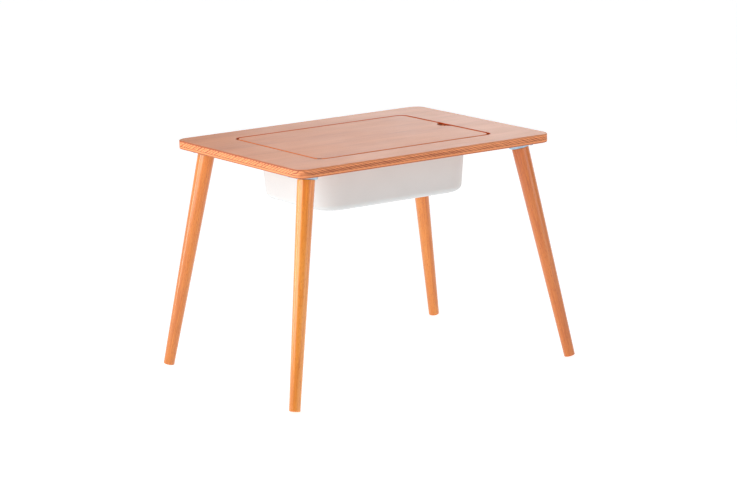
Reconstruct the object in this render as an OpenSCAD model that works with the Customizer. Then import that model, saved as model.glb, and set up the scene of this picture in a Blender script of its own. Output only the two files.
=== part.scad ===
// Children's table with a storage bin under a flush lift-out lid.
// Millimetres. Origin on the floor under the middle of the top.
// X runs along the length, Y along the width, Z up. The lid's finger notch is at +X.

/* [Table] */
// Height from the floor to the top surface
table_height = 480; // [430:5:540]
// Length of the top, along X
top_length = 620; // [600:5:680]
// Width of the top, along Y
top_width = 480; // [470:5:540]
// Thickness of the plywood board
top_thickness = 18; // [17:0.5:22]
// Radius of the top's four corners, seen from above
top_corner_radius = 25; // [12:1:40]
// Rounding of the board's outer edges
top_edge_ease = 1.5; // [0.5:0.25:3]

/* [Lid] */
// Length of the pocket that the lid lies in
pocket_length = 430; // [424:1:434]
// Width of the pocket that the lid lies in
pocket_width = 328; // [318:1:332]
// Radius of the pocket's corners
pocket_corner_radius = 16; // [10:1:18]
// Gap all round between the lid and the pocket's wall
lid_gap = 3; // [1:0.1:4]
// Thickness of the lid board, and depth of its pocket
lid_thickness = 9; // [6:0.5:10]
// Radius of the lid's corners, larger than the pocket's
lid_corner_radius = 21; // [16:1:30]
// Chamfer on the lid's and the pocket's upper arrises
lid_arris = 1.5; // [0.3:0.1:2.5]
// Radius of the round cut that makes the finger notch
notch_radius = 25; // [20:1:35]
// How far the finger notch reaches in from the lid's edge
notch_depth = 17; // [12:1:20]

/* [Storage bin] */
// Outside length of the bin's body, just under its rim
bin_length = 390; // [340:1:394]
// Outside width of the bin's body, just under its rim
bin_width = 273; // [240:1:290]
// Height of the bin from its base to the top of its rim
bin_height = 111; // [80:1:160]
// Outside corner radius of the body, just under its rim
bin_corner_radius = 67; // [50:1:75]
// Lean of the bin's walls, in degrees
bin_draft = 4.9; // [2:0.1:7]
// Thickness of the moulded walls, base and rim
bin_wall = 2.2; // [1.6:0.1:3]
// Outside rounding between the base and the walls
bin_base_fillet = 14; // [8:0.5:18]
// Width of the rim that hangs on the top's ledge
bin_rim = 10; // [7:0.5:11]
// Height that the middle of the base is raised by
bin_panel_rise = 1.5; // [0.8:0.1:2.5]

/* [Legs] */
// Distance from the top's end to the leg's axis, at the underside
leg_inset_x = 47.9; // [46:0.1:52]
// Distance from the top's long edge to the leg's axis, at the underside
leg_inset_y = 51; // [48:0.1:56]
// Lean of the legs from upright, in degrees
leg_splay = 12.25; // [6:0.25:15]
// Compass of the lean, in degrees from X towards Y
leg_bearing = 34.7; // [30:0.1:50]
// Diameter of the leg at its top end
leg_top_diameter = 36; // [34:0.5:40]
// Diameter of the leg at its foot
leg_foot_diameter = 23.2; // [20:0.2:32]
// Rounding of the foot's rim
foot_ease = 1.4; // [0.5:0.1:3]

/* [Leg plates] */
// Side of the square flange
plate_side = 64; // [62:1:66]
// Radius of the flange's corners
plate_corner_radius = 8; // [4:1:12]
// Thickness of the pressed sheet
plate_sheet = 2; // [1.5:0.1:2.5]
// Depth from the table's underside to the seat of the leg, at the leg's axis
plate_drop = 12; // [12:0.5:16]
// Radius of the boss's shoulder, between its seat and its wall
boss_shoulder = 5; // [4:0.5:7]
// Distance between neighbouring screw holes
screw_spacing = 50; // [49:0.5:52]

/* [Fasteners] */
// Diameter of the hanger bolts
bolt_diameter = 8; // [6:1:8]
// Length of the hanger bolt inside the leg
bolt_in_leg = 30; // [20:1:40]
// Width across the flats of the nut inside the boss
nut_flats = 13; // [13:1:15]
// Height of the nut
nut_height = 6.5; // [5:0.5:7]
// Diameter of the wood screws
screw_diameter = 4; // [3:0.5:4.5]
// Length of the wood screws under the head
screw_length = 15; // [12:1:16]
// Diameter of the screws' pan heads
screw_head_diameter = 7.6; // [6:0.2:8.2]

/* [Hidden] */
$fn = 96;
CORNERS = ["front_left", "front_right", "back_left", "back_right"];

// Small amounts
past = 1;              // a cut runs this far past a face
running = 0.05;        // radial play of a fastener in its hole
bin_play = 2;          // gap between the bin's body and the opening in the top
rim_play = 1;          // gap between the bin's rim and its recess
rim_under_lid = 0.4;   // gap between the bin's rim and the lid
seat_margin = 0.5;     // the boss's flat seat is this much larger in radius than the leg
bolt_play = 0.2;       // radial play of the hanger bolt in the boss
screw_play = 0.3;      // radial play of a screw in the flange

// Levels, from the floor
underside_z = table_height - top_thickness;
lid_seat_z = table_height - lid_thickness;
rim_top_z = lid_seat_z - rim_under_lid;
ledge_z = rim_top_z - bin_wall;

// Lid
lid_length = pocket_length - 2 * lid_gap;
lid_width = pocket_width - 2 * lid_gap;

// Bin section, measured outwards from the corner's centre and up from the base
bin_rim_under = bin_height - bin_wall;
fillet_u = bin_corner_radius - tan(bin_draft) * (bin_rim_under - bin_base_fillet)
    - bin_base_fillet / cos(bin_draft);
foot_ring = 26;        // from the base's rounding in to its raised middle
panel_u = fillet_u - foot_ring;
panel_slope = 3;
inner_fillet = bin_base_fillet - bin_wall;
wall_across = bin_wall / cos(bin_draft);
rim_u = bin_corner_radius + bin_rim;
rim_root = 3;          // inside rounding where the wall turns out into the rim

// Legs, in a frame whose Z runs up the leg and starts at the table's underside
leg_x = top_length / 2 - leg_inset_x;
leg_y = top_width / 2 - leg_inset_y;
leg_r_top = leg_top_diameter / 2;
leg_r_foot = leg_foot_diameter / 2;
leg_arris = 1;
// Height of the foot's centre that sets the lowest point of its rounded rim on the floor
foot_lift = foot_ease + (leg_r_foot - foot_ease) * sin(leg_splay) - foot_ease * cos(leg_splay);
seat_t = -plate_drop / cos(leg_splay);
foot_t = -(underside_z - foot_lift) / cos(leg_splay);
leg_length = seat_t - foot_t;

// Leg plates
boss_seat_r = leg_r_top + seat_margin;
boss_wall_r = boss_seat_r + boss_shoulder;
boss_flare = 1.5;      // the boss is this much wider at the flange than at its shoulder
boss_reach = 30;       // the boss's section runs this far up, and is cut at the underside
bolt_hole_r = bolt_diameter / 2 + bolt_play;
bolt_past_nut = 1.5;
screw_hole_r = screw_diameter / 2 + screw_play;
screw_head_height = 2.6;
screw_head_round = 1.9; // rounding of the pan head's rim
screw_tip = 3;
bolt_arris = 0.8;
bolt_tip_r = bolt_diameter / 5;

wood_top = [0.87, 0.68, 0.60];
wood_leg = [0.90, 0.62, 0.38];
plastic_white = [0.93, 0.93, 0.92];
zinc = [0.78, 0.82, 0.86];

// Points of an arc about [u, v], from one angle to another
function arc(u, v, r, from, to, steps) =
    [for (i = [0:steps]) let (a = from + (to - from) * i / steps) [u + r * cos(a), v + r * sin(a)]];

// ---- Shapes that run round a rounded rectangle ----

// Sweeps a section round the rectangle whose corner centres are at +-reach_x, +-reach_y.
// The section's X points outwards and its Y points up.
module swept_round(reach_x, reach_y) {
    for (turn = [0:3]) {
        along = turn % 2 == 0 ? reach_x : reach_y;
        out = turn % 2 == 0 ? reach_y : reach_x;
        rotate([0, 0, 90 * turn]) {
            translate([0, out, 0])
                rotate([90, 0, 90])
                    linear_extrude(height = 2 * along, center = true)
                        children();
            translate([along, out, 0])
                rotate_extrude(angle = 90)
                    children();
        }
    }
}

// A rounded rectangular solid with the section of its rim as its child
module rounded_solid(length, width, corner, low, high) {
    reach_x = length / 2 - corner;
    reach_y = width / 2 - corner;
    swept_round(reach_x, reach_y) children();
    translate([-reach_x, -reach_y, low])
        cube([2 * reach_x, 2 * reach_y, high - low]);
}

// Rim section of a board with rounded edges above and below
module eased_section(corner, low, high, ease) {
    polygon(concat(
        [[0, low]],
        arc(corner - ease, low + ease, ease, -90, 0, 5),
        arc(corner - ease, high - ease, ease, 0, 90, 5),
        [[0, high]]
    ));
}

// ---- Top and lid ----

// The pocket for the lid, with a chamfered upper arris
module lid_pocket() {
    rounded_solid(pocket_length, pocket_width, pocket_corner_radius, lid_seat_z, table_height + past)
        polygon([
            [0, lid_seat_z],
            [pocket_corner_radius, lid_seat_z],
            [pocket_corner_radius, table_height - lid_arris],
            [pocket_corner_radius + lid_arris + past, table_height + past],
            [0, table_height + past]
        ]);
}

// A straight-sided round-cornered cut between two levels
module straight_cut(length, width, corner, low, high) {
    rounded_solid(length, width, corner, low, high)
        translate([0, low])
            square([corner, high - low]);
}

module tabletop() {
    color(wood_top)
        difference() {
            rounded_solid(top_length, top_width, top_corner_radius, underside_z, table_height)
                eased_section(top_corner_radius, underside_z, table_height, top_edge_ease);
            lid_pocket();
            straight_cut(
                bin_length + 2 * (bin_rim + rim_play), bin_width + 2 * (bin_rim + rim_play),
                bin_corner_radius + bin_rim + rim_play, ledge_z, lid_seat_z + past
            );
            straight_cut(
                bin_length + 2 * bin_play, bin_width + 2 * bin_play,
                bin_corner_radius + bin_play, underside_z - past, ledge_z + past
            );
            for (corner = CORNERS)
                at_leg(corner)
                    at_screws()
                        translate([0, 0, -past])
                            cylinder(h = screw_length - plate_sheet + past + running,
                                r = screw_diameter / 2 + running);
        }
}

module lid() {
    color(wood_top)
        difference() {
            rounded_solid(lid_length, lid_width, lid_corner_radius, lid_seat_z, table_height)
                polygon([
                    [0, lid_seat_z],
                    [lid_corner_radius, lid_seat_z],
                    [lid_corner_radius, table_height - lid_arris],
                    [lid_corner_radius - lid_arris, table_height],
                    [0, table_height]
                ]);
            translate([lid_length / 2 + notch_radius - notch_depth, 0, lid_seat_z - past])
                cylinder(h = lid_thickness + 2 * past, r = notch_radius);
        }
}

// ---- Storage bin ----

// Half section through the wall: raised base panel, foot ring, filleted base,
// drafted wall and the rim that hangs on the ledge
module bin_section() {
    rim_in = bin_corner_radius - wall_across;
    polygon(concat(
        [[0, bin_panel_rise], [panel_u, bin_panel_rise], [panel_u + panel_slope, 0]],
        arc(fillet_u, bin_base_fillet, bin_base_fillet, -90, -bin_draft, 8),
        [[bin_corner_radius, bin_rim_under]],
        arc(rim_u - bin_wall / 2, bin_rim_under + bin_wall / 2, bin_wall / 2, -90, 90, 6),
        arc(rim_in + rim_root, bin_height - rim_root, rim_root, 90, 180 - bin_draft, 5),
        arc(fillet_u, bin_base_fillet, inner_fillet, -bin_draft, -90, 8),
        [[panel_u + panel_slope - bin_wall / 2, bin_wall],
         [panel_u - bin_wall / 2, bin_panel_rise + bin_wall],
         [0, bin_panel_rise + bin_wall]]
    ));
}

module storage_bin() {
    color(plastic_white)
        translate([0, 0, rim_top_z - bin_height])
            rounded_solid(bin_length, bin_width, bin_corner_radius,
                bin_panel_rise, bin_panel_rise + bin_wall)
                bin_section();
}

// ---- Legs and their hardware ----

// Bearing of each corner's outward lean
function corner_side(corner) = [
    corner == "front_right" || corner == "back_right" ? 1 : -1,
    corner == "back_left" || corner == "back_right" ? 1 : -1
];
function lean_bearing(side) =
    side.x > 0 ? side.y * leg_bearing : 180 - side.y * leg_bearing;

// Places its children at a leg's axis on the underside, X pointing outwards
module at_leg(corner) {
    side = corner_side(corner);
    translate([side.x * leg_x, side.y * leg_y, underside_z])
        rotate([0, 0, lean_bearing(side)])
            children();
}

// Turns the frame at a leg so that Z runs up the leg's axis
module along_leg(corner) {
    at_leg(corner)
        rotate([0, -leg_splay, 0])
            children();
}

// Places its children at a plate's four screws
module at_screws() {
    for (x = [-1, 1], y = [-1, 1])
        translate([x * screw_spacing / 2, y * screw_spacing / 2, 0])
            children();
}

module leg(corner) {
    color(wood_leg)
        along_leg(corner)
            translate([0, 0, foot_t])
                difference() {
                    rotate_extrude()
                        polygon(concat(
                            [[0, 0]],
                            arc(leg_r_foot - foot_ease, foot_ease, foot_ease, -90, 0, 5),
                            [[leg_r_top, leg_length - leg_arris],
                             [leg_r_top - leg_arris, leg_length],
                             [0, leg_length]]
                        ));
                    translate([0, 0, leg_length - bolt_in_leg - running])
                        cylinder(h = bolt_in_leg + past, r = bolt_diameter / 2 + running);
                }
}

// The pressed boss as a solid of revolution about the leg, thinner by an inset
module boss_body(inset) {
    seat_r = boss_seat_r - inset;
    floor_t = seat_t + inset;
    shoulder = boss_shoulder - inset;
    wall_r = boss_wall_r - inset;
    rotate_extrude()
        polygon(concat(
            [[0, floor_t]],
            arc(wall_r - shoulder, floor_t + shoulder, shoulder, -90, 0, 6),
            [[wall_r + boss_flare, boss_reach - plate_drop], [0, boss_reach - plate_drop]]
        ));
}

module leg_plate(corner) {
    color(zinc)
        difference() {
            union() {
                at_leg(corner)
                    rounded_solid(plate_side, plate_side, plate_corner_radius, -plate_sheet, 0)
                        translate([0, -plate_sheet])
                            square([plate_corner_radius, plate_sheet]);
                intersection() {
                    along_leg(corner) boss_body(0);
                    at_leg(corner)
                        translate([-plate_side, -plate_side, -2 * plate_side])
                            cube([2 * plate_side, 2 * plate_side, 2 * plate_side - plate_sheet / 2]);
                }
            }
            along_leg(corner) {
                boss_body(plate_sheet);
                translate([0, 0, seat_t - past])
                    cylinder(h = plate_sheet + 2 * past, r = bolt_hole_r);
            }
            at_leg(corner)
                at_screws()
                    translate([0, 0, -plate_sheet - past])
                        cylinder(h = plate_sheet + 2 * past, r = screw_hole_r);
        }
}

// Four pan-head wood screws, from under the flange up into the board
module plate_screws(corner) {
    color(zinc)
        at_leg(corner)
            at_screws()
                translate([0, 0, -plate_sheet])
                    rotate_extrude()
                        polygon(concat(
                            [[0, -screw_head_height]],
                            arc(screw_head_diameter / 2 - screw_head_round,
                                screw_head_round - screw_head_height,
                                screw_head_round, -90, 0, 4),
                            [[screw_head_diameter / 2, 0],
                             [screw_diameter / 2, 0],
                             [screw_diameter / 2, screw_length - screw_tip],
                             [0, screw_length]]
                        ));
}

// Double-ended bolt: wood end in the leg, machine end through the boss and its nut
module hanger_bolt(corner) {
    top_t = plate_sheet + nut_height + bolt_past_nut;
    color(zinc)
        along_leg(corner)
            translate([0, 0, seat_t])
                rotate_extrude()
                    polygon([
                        [0, -bolt_in_leg],
                        [bolt_tip_r, -bolt_in_leg],
                        [bolt_diameter / 2, bolt_diameter / 2 - bolt_in_leg],
                        [bolt_diameter / 2, top_t - bolt_arris],
                        [bolt_diameter / 2 - bolt_arris, top_t],
                        [0, top_t]
                    ]);
}

module plate_nut(corner) {
    color(zinc)
        along_leg(corner)
            translate([0, 0, seat_t + plate_sheet])
                difference() {
                    cylinder(h = nut_height, d = nut_flats / cos(30), $fn = 6);
                    translate([0, 0, -past])
                        cylinder(h = nut_height + 2 * past, r = bolt_diameter / 2 + running);
                }
}

tabletop();
lid();
storage_bin();
for (corner = CORNERS) {
    leg(corner);
    leg_plate(corner);
    plate_screws(corner);
    hanger_bolt(corner);
    plate_nut(corner);
}
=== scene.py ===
"""Looks of a children's table with a storage bin under a flush lift-out lid.

Lengths are in metres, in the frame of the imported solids: the origin is on the floor
under the middle of the top, X runs along the table towards the lid's finger notch,
Y runs across it and Z up.
"""

import logging
import math
from dataclasses import dataclass
from enum import Enum
from typing import Iterable, Sequence

import bmesh
import bpy
from mathutils import Matrix, Vector


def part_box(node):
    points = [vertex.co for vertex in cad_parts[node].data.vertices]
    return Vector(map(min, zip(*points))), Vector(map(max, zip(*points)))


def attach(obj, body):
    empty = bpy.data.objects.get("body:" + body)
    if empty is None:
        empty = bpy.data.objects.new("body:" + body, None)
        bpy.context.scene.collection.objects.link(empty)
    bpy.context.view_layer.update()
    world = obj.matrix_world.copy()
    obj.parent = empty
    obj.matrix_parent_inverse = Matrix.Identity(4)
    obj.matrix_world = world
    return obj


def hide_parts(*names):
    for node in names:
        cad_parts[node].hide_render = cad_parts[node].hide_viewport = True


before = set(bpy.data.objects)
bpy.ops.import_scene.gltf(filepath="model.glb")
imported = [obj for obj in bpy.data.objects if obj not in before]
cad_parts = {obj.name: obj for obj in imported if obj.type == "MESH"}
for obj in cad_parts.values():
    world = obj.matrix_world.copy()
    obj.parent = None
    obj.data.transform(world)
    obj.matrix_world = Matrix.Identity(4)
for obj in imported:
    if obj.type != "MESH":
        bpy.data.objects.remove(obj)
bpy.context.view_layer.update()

Triple = tuple[float, float, float]
Colour = Triple
Piece = bpy.types.Object
Material = bpy.types.Material
Socket = bpy.types.NodeSocket
Value = float | Triple | Socket

LOG = logging.getLogger("table")
MM = 0.001
WHITE = (1.0, 1.0, 1.0)
OUTLINE = "outline"
GRAIN_PLACE = "grain_place"
PAINTED_LEG_LIGHT = "painted_leg_light"


# ---- Named options ----


class Body(Enum):
    """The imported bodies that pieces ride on."""

    TABLE = "table"
    BIN = "bin"
    LID = "lid"


class Slot(Enum):
    """The record's material slots."""

    TOP_PLYWOOD = "top_plywood"
    LID_PLYWOOD = "lid_plywood"
    LEG_BEECH = "leg_beech"
    BIN_PLASTIC = "bin_plastic"
    PLATE_ZINC = "plate_zinc"
    FASTENER_ZINC = "fastener_zinc"


class Corner(Enum):
    """The table's four corners, as the signs of X and Y."""

    FRONT_LEFT = (-1, -1)
    FRONT_RIGHT = (1, -1)
    BACK_LEFT = (-1, 1)
    BACK_RIGHT = (1, 1)

    @property
    def label(self) -> str:
        """The corner's name as the nodes use it."""
        return self.name.lower()


# ---- Modelling ----


class Bench:
    """Steps that every piece goes through, each done with Blender's own operators."""

    MERGE = 0.002 * MM

    @staticmethod
    def pick(*pieces: Piece) -> None:
        """Selects pieces alone.

        Args:
            *pieces: The pieces, of which the first becomes the active one.
        """
        bpy.ops.object.select_all(action="DESELECT")
        for piece in pieces:
            piece.select_set(True)
        bpy.context.view_layer.objects.active = pieces[0]

    @staticmethod
    def apply_place(piece: Piece) -> None:
        """Moves the piece's place, turn and scale into its mesh."""
        Bench.pick(piece)
        bpy.ops.object.transform_apply(location=True, rotation=True, scale=True)

    @staticmethod
    def copy(piece: Piece, name: str, place: Matrix) -> Piece:
        """Copies a piece with its own mesh and puts the copy in its place.

        Args:
            piece: The piece to copy, modelled about the origin.
            name: Name of the copy.
            place: Where the copy goes.

        Returns:
            The copy, with its place in its mesh.
        """
        twin = piece.copy()
        twin.data = piece.data.copy()
        twin.name = twin.data.name = name
        bpy.context.scene.collection.objects.link(twin)
        twin.matrix_world = place
        Bench.apply_place(twin)
        return twin

    @staticmethod
    def remove(piece: Piece) -> None:
        """Deletes a piece that was only a pattern or a cutter."""
        Bench.pick(piece)
        bpy.ops.object.delete()

    @staticmethod
    def plane(name: str, size: float = 1.0) -> Piece:
        """Adds a level square at the origin.

        Args:
            name: Name of the piece.
            size: Its side.

        Returns:
            The piece, which is selected alone.
        """
        bpy.ops.object.select_all(action="DESELECT")
        bpy.ops.mesh.primitive_plane_add(size=size)
        piece = bpy.context.object
        piece.name = piece.data.name = name
        return piece

    @staticmethod
    def modify(piece: Piece, kind: str, **settings: object) -> None:
        """Adds a modifier to a piece and applies it.

        Args:
            piece: The piece that is changed.
            kind: Type of the modifier.
            **settings: Properties of the modifier.
        """
        Bench.pick(piece)
        step = piece.modifiers.new(kind.lower(), kind)
        for name, setting in settings.items():
            setattr(step, name, setting)
        bpy.ops.object.modifier_apply(modifier=step.name)

    @staticmethod
    def cut(piece: Piece, cutter: Piece) -> None:
        """Cuts one piece with another and deletes the cutter."""
        Bench.modify(piece, "BOOLEAN", operation="DIFFERENCE", solver="EXACT", object=cutter)
        Bench.remove(cutter)

    @staticmethod
    def drill(piece: Piece, radius: float, depth: float, place: Triple, points: int) -> None:
        """Cuts a round upright hole through a piece.

        Args:
            piece: The piece that is drilled.
            radius: Radius of the hole.
            depth: Length of the cutter, half of it on either side of its place.
            place: Middle of the cutter.
            points: Number of points round the hole.
        """
        bpy.ops.mesh.primitive_cylinder_add(vertices=points, radius=radius, depth=depth, location=place)
        Bench.cut(piece, bpy.context.object)

    @staticmethod
    def close(piece: Piece) -> None:
        """Merges doubled points and turns every face outwards.

        Args:
            piece: The piece to tidy.
        """
        Bench.pick(piece)
        bpy.ops.object.mode_set(mode="EDIT")
        bpy.ops.mesh.select_all(action="SELECT")
        bpy.ops.mesh.remove_doubles(threshold=Bench.MERGE)
        bpy.ops.mesh.normals_make_consistent(inside=False)
        bpy.ops.object.mode_set(mode="OBJECT")

    @staticmethod
    def smooth(piece: Piece, under: float) -> None:
        """Shades the piece smooth, and keeps its broad faces flat.

        Args:
            piece: The piece to shade.
            under: Edges sharper than this angle, in degrees, stay crisp.
        """
        Bench.pick(piece)
        bpy.ops.object.shade_smooth_by_angle(angle=math.radians(under))
        Bench.modify(piece, "WEIGHTED_NORMAL", keep_sharp=True)


class Loft:
    """A skin bridged from outline to outline in edit mode.

    The outlines wait one above the other while they are bridged, because outlines that
    lie in one plane would be joined crosswise, and then each goes to its own level.
    """

    SPACING = 20 * MM

    def __init__(self, name: str, points: int) -> None:
        """Starts an empty mesh in edit mode.

        Args:
            name: Name of the piece.
            points: Number of points in every outline, a multiple of four.
        """
        self.piece = Bench.plane(name)
        self.points = points
        self.drops: list[float] = []
        bpy.ops.object.mode_set(mode="EDIT")
        bpy.ops.mesh.select_all(action="SELECT")
        bpy.ops.mesh.delete(type="VERT")

    def _open(self) -> tuple[bmesh.types.BMesh, bmesh.types.BMLayerItem]:
        """Opens the mesh in edit mode.

        Returns:
            The mesh, and the layer that numbers its outlines.
        """
        mesh = bmesh.from_edit_mesh(self.piece.data)
        layer = mesh.verts.layers.int.get(OUTLINE) or mesh.verts.layers.int.new(OUTLINE)
        return mesh, layer

    @property
    def outlines(self) -> int:
        """Number of outlines so far, which is also the newest one's number."""
        return len(self.drops)

    @property
    def _waiting(self) -> float:
        """Level where the next outline waits, clear of the others, until all are bridged."""
        return self.outlines * self.SPACING

    def _keep_outline(self, height: float) -> int:
        """Leaves only the outline of the newest shape.

        Args:
            height: The level that the outline goes to after the bridging.

        Returns:
            The outline's number.
        """
        mesh, layer = self._open()
        for vert in mesh.verts:
            vert.select_set(vert[layer] == 0)
        mesh.select_flush(True)
        if any(face.select for face in mesh.faces):
            bmesh.update_edit_mesh(self.piece.data)
            bpy.ops.mesh.delete(type="ONLY_FACE")
            mesh, layer = self._open()
        self.drops.append(height - self._waiting)
        for vert in mesh.verts:
            if vert[layer] == 0:
                vert[layer] = self.outlines
        bmesh.update_edit_mesh(self.piece.data)
        return self.outlines

    def rectangle(self, length: float, width: float, corner: float, height: float) -> int:
        """Adds a level rounded rectangle about the Z axis.

        Args:
            length: Size along X.
            width: Size along Y.
            corner: Radius of the corners.
            height: Level of the outline.

        Returns:
            The outline's number.
        """
        middle = (0.0, 0.0, self._waiting)
        bpy.ops.mesh.select_all(action="DESELECT")
        bpy.ops.mesh.primitive_plane_add(size=1.0, location=middle)
        bpy.ops.transform.resize(value=(length, width, 1.0), center_override=middle)
        bpy.ops.mesh.bevel(offset=corner, segments=self.points // 4 - 1, affect="VERTICES")
        return self._keep_outline(height)

    def circle(
        self, radius: float, height: float, tilt: float = 0.0, stretch: float = 1.0, shift: float = 0.0
    ) -> int:
        """Adds a round outline about the Z axis, or about an axis that leans along X.

        Args:
            radius: Radius of the circle.
            height: Distance along the axis.
            tilt: Lean of the axis towards negative X, in radians.
            stretch: The circle's size along X is multiplied by this.
            shift: Distance that the circle is moved along X.

        Returns:
            The outline's number.
        """
        middle = (shift - height * math.sin(tilt), 0.0, self._waiting)
        bpy.ops.mesh.select_all(action="DESELECT")
        bpy.ops.mesh.primitive_circle_add(
            vertices=self.points, radius=radius, location=middle, rotation=(0.0, -tilt, 0.0)
        )
        if stretch != 1.0:
            bpy.ops.transform.resize(value=(stretch, 1.0, 1.0), center_override=middle)
        return self._keep_outline(height * math.cos(tilt))

    def circles(self, section: Iterable[tuple[float, float]], tilt: float = 0.0) -> None:
        """Adds a round outline at every radius and height of a section."""
        for radius, height in section:
            self.circle(radius, height, tilt)

    def _select(self, outlines: Iterable[int]) -> None:
        """Selects the edges that run along some outlines.

        Args:
            outlines: Numbers of the outlines.
        """
        chosen = set(outlines)
        mesh, layer = self._open()
        bpy.ops.mesh.select_all(action="DESELECT")
        bpy.ops.mesh.select_mode(type="EDGE")
        for edge in mesh.edges:
            first, last = (vert[layer] for vert in edge.verts)
            edge.select_set(first == last and first in chosen)
        bmesh.update_edit_mesh(self.piece.data)

    def skin(self, closed: bool = False) -> None:
        """Bridges each outline to the next.

        Args:
            closed: Whether the last outline meets the first. Otherwise both are filled.
        """
        pairs = [(i, i + 1) for i in range(1, self.outlines)]
        if closed:
            pairs.append((self.outlines, 1))
        for pair in pairs:
            self._select(pair)
            bpy.ops.mesh.bridge_edge_loops()
        for number, drop in enumerate(self.drops, start=1):
            self._select([number])
            bpy.ops.transform.translate(value=(0.0, 0.0, drop))
        for end in () if closed else (1, self.outlines):
            self._select([end])
            bpy.ops.mesh.edge_face_add()

    def ease(self, outline: int, width: float, steps: int = 3) -> None:
        """Rounds the edge along one outline.

        Args:
            outline: The outline's number.
            width: Width of the rounding.
            steps: Number of facets across the rounding.
        """
        self._select([outline])
        bpy.ops.mesh.bevel(offset=width, segments=steps, affect="EDGES", clamp_overlap=True)

    def finish(self) -> Piece:
        """Leaves edit mode and closes the piece.

        Returns:
            The piece.
        """
        bpy.ops.object.mode_set(mode="OBJECT")
        attributes = self.piece.data.attributes
        attributes.remove(attributes[OUTLINE])
        Bench.close(self.piece)
        return self.piece


def arc(
    across: float, up: float, radius: float, start: float, end: float, steps: int
) -> list[tuple[float, float]]:
    """Points of an arc in the plane of a section.

    Args:
        across: Centre of the arc, across the section.
        up: Centre of the arc, up the section.
        radius: Radius of the arc.
        start: First angle in degrees.
        end: Last angle in degrees.
        steps: Number of chords.

    Returns:
        The points, first and last included.
    """
    angles = [math.radians(start + (end - start) * i / steps) for i in range(steps + 1)]
    return [(across + radius * math.cos(a), up + radius * math.sin(a)) for a in angles]


# ---- Shader building ----


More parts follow.
